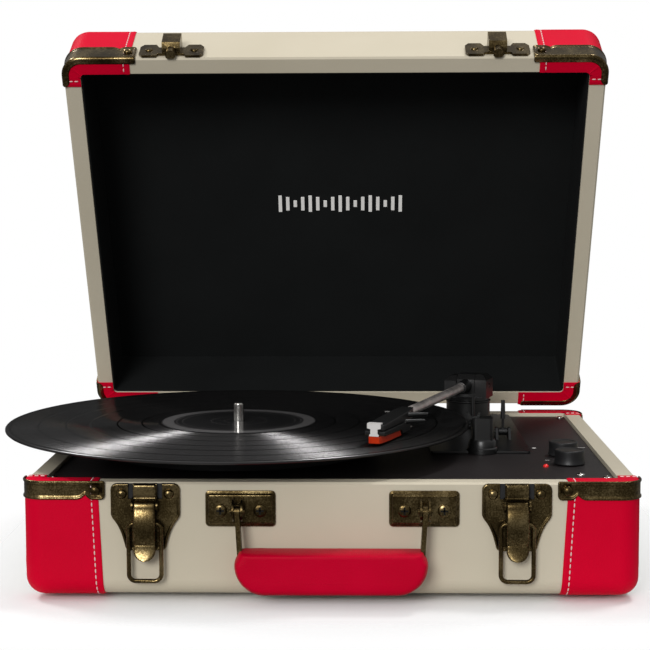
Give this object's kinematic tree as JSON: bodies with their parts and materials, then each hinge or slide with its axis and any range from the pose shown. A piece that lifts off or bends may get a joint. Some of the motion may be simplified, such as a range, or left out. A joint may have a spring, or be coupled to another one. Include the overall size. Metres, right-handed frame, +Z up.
{
  "type": "suitcase_record_player",
  "caption": "Portable record player in a cream suitcase with red leather corners and antique-brass luggage hardware, lid open, 12-inch record on the platter, tonearm over the record",
  "frame": {"origin": "centre of the case's flat underside, at the middle of its width and depth; the rubber feet reach 3.3 mm below it", "axes": "+X to the right seen from the front (the case's long side), +Y to the back (lid hinges), +Z up"},
  "size_m": [0.3908, 0.3479, 0.342],
  "materials": {
    "antique_brass": "aged, satin, darkened in the recesses",
    "cream_leatherette": "fine-grained, satin",
    "red_leather": "padded, satin",
    "black_lining": "matte paper lining",
    "black_painted_metal": "satin black",
    "black_plastic": "satin black",
    "speaker_black": "matte paper and plastic",
    "circuit_green": "lacquered board",
    "rubber_feet": "matte",
    "belt_rubber": "matte",
    "bright_metal": "polished",
    "platter_metal": "satin black",
    "motor_steel": "plain",
    "tube_aluminium": "satin",
    "felt": "felt",
    "vinyl": "grooved, glossy",
    "stylus_orange": "translucent orange"
  },
  "bodies": {
    "case": {"base_shell": "cream_leatherette", "deck_plate": "black_painted_metal", "mechanism_plate": "black_plastic", "base_bracket_front_left": "antique_brass", "base_bracket_front_right": "antique_brass", "base_bracket_rear_left": "antique_brass", "base_bracket_rear_right": "antique_brass", "foot_front_left": "rubber_feet", "foot_front_right": "rubber_feet", "foot_rear_left": "rubber_feet", "foot_rear_right": "rubber_feet", "latch_plate_left": "antique_brass", "latch_plate_right": "antique_brass", "handle_plate_left": "antique_brass", "handle_plate_right": "antique_brass", "hinge_leaf_base_left": "antique_brass", "hinge_leaf_base_right": "antique_brass", "speaker_left": "speaker_black", "speaker_right": "speaker_black", "circuit_board": "circuit_green", "jack_plate": "black_plastic", "spindle": "bright_metal", "motor": "motor_steel", "drive_belt": "belt_rubber", "tonearm_base": "black_plastic", "arm_rest": "black_plastic"},
    "lid": {"lid_shell": "cream_leatherette", "lid_lining": "black_lining", "lid_bracket_front_left": "antique_brass", "lid_bracket_front_right": "antique_brass", "lid_bracket_rear_left": "antique_brass", "lid_bracket_rear_right": "antique_brass", "lid_catch_left": "antique_brass", "lid_catch_right": "antique_brass", "hinge_leaf_lid_left": "antique_brass", "hinge_leaf_lid_right": "antique_brass"},
    "handle": {"handle_strap": "antique_brass", "handle_grip": "red_leather"},
    "turntable": {"platter": "platter_metal", "slip_mat": "felt", "record": "vinyl"},
    "pulley": {"motor_pulley": "bright_metal"},
    "arm_yoke": {"gimbal_yoke": "black_plastic"},
    "arm": {"arm_block": "black_plastic", "arm_tube": "tube_aluminium", "headshell": "black_plastic", "cartridge": "black_plastic", "stylus": "stylus_orange", "finger_lift": "bright_metal"},
    "lift_bar": {"cue_lift_bar": "black_plastic"},
    "cue": {"cue_lever": "black_plastic"},
    "speed": {"speed_selector": "black_plastic"},
    "auto_stop": {"auto_stop_switch": "black_plastic"},
    "volume": {"volume_knob": "black_plastic"},
    "tone": {"tone_knob": "black_plastic"},
    "lever_left": {"latch_lever_left": "antique_brass"},
    "lever_right": {"latch_lever_right": "antique_brass"},
    "bail_left": {"latch_bail_left": "antique_brass"},
    "bail_right": {"latch_bail_right": "antique_brass"}
  },
  "joints": [
    {"name": "lid_hinge", "type": "hinge", "parent": "case", "child": "lid", "pos_m": [0, 0.1436, 0.0694], "axis": [1, 0, 0], "range_deg": [0, 40]},
    {"name": "platter_spin", "type": "hinge", "parent": "case", "child": "turntable", "pos_m": [-0.0619, -0.0178, 0.0839], "axis": [0, 0, 1], "continuous": true},
    {"name": "pulley_spin", "type": "hinge", "parent": "case", "child": "pulley", "pos_m": [-0.0239, 0.04802, 0.0735], "axis": [0, 0, 1], "continuous": true},
    {"name": "tonearm_swing", "type": "hinge", "parent": "case", "child": "arm_yoke", "pos_m": [0.093, 0.078, 0.095], "axis": [0, 0, 1], "range_deg": [-26, 17.6]},
    {"name": "cue_lever_turn", "type": "hinge", "parent": "case", "child": "cue", "pos_m": [0.1125, 0.02, 0.071], "axis": [1, 0, 0], "range_deg": [0, 31]},
    {"name": "tonearm_lift", "type": "hinge", "parent": "arm_yoke", "child": "arm", "pos_m": [0.093, 0.078, 0.095], "axis": [-0.9432, 0.3322, 0], "range_deg": [0, 6]},
    {"name": "lift_bar_slide", "type": "slide", "parent": "case", "child": "lift_bar", "axis": [0, 0, 1], "range_m": [0, 0.0028]},
    {"name": "speed_select", "type": "hinge", "parent": "case", "child": "speed", "pos_m": [0.08, 0.112, 0.068], "axis": [0, 0, 1], "range_deg": [0, 50]},
    {"name": "auto_stop_slide", "type": "slide", "parent": "case", "child": "auto_stop", "axis": [1, 0, 0], "range_m": [0, 0.004]},
    {"name": "volume_turn", "type": "hinge", "parent": "case", "child": "volume", "pos_m": [0.146, -0.0668, 0.068], "axis": [0, 0, 1], "range_deg": [-140, 140]},
    {"name": "tone_turn", "type": "hinge", "parent": "case", "child": "tone", "pos_m": [0.146, -0.036, 0.068], "axis": [0, 0, 1], "range_deg": [-140, 140]},
    {"name": "handle_swing", "type": "hinge", "parent": "case", "child": "handle", "pos_m": [0, -0.1495, 0.052], "axis": [-1, 0, 0], "range_deg": [0, 110]},
    {"name": "latch_lever_left_swing", "type": "hinge", "parent": "case", "child": "lever_left", "pos_m": [-0.1067, -0.1446, 0.0542], "axis": [-1, 0, 0], "range_deg": [0, 90]},
    {"name": "latch_bail_left_swing", "type": "hinge", "parent": "lever_left", "child": "bail_left", "pos_m": [-0.1067, -0.1453, 0.0439], "axis": [1, 0, 0], "range_deg": [-170, 0]},
    {"name": "latch_lever_right_swing", "type": "hinge", "parent": "case", "child": "lever_right", "pos_m": [0.1067, -0.1446, 0.0542], "axis": [-1, 0, 0], "range_deg": [0, 90]},
    {"name": "latch_bail_right_swing", "type": "hinge", "parent": "lever_right", "child": "bail_right", "pos_m": [0.1067, -0.1453, 0.0439], "axis": [1, 0, 0], "range_deg": [-170, 0]}
  ],
  "couplings": [
    {"joint": "pulley_spin", "follows": "platter_spin", "ratio": 10.5},
    {"joint": "cue_lever_turn", "follows": "tonearm_lift", "ratio": 5},
    {"joint": "lift_bar_slide", "follows": "tonearm_lift", "m_per_rad": 0.02607}
  ]
}
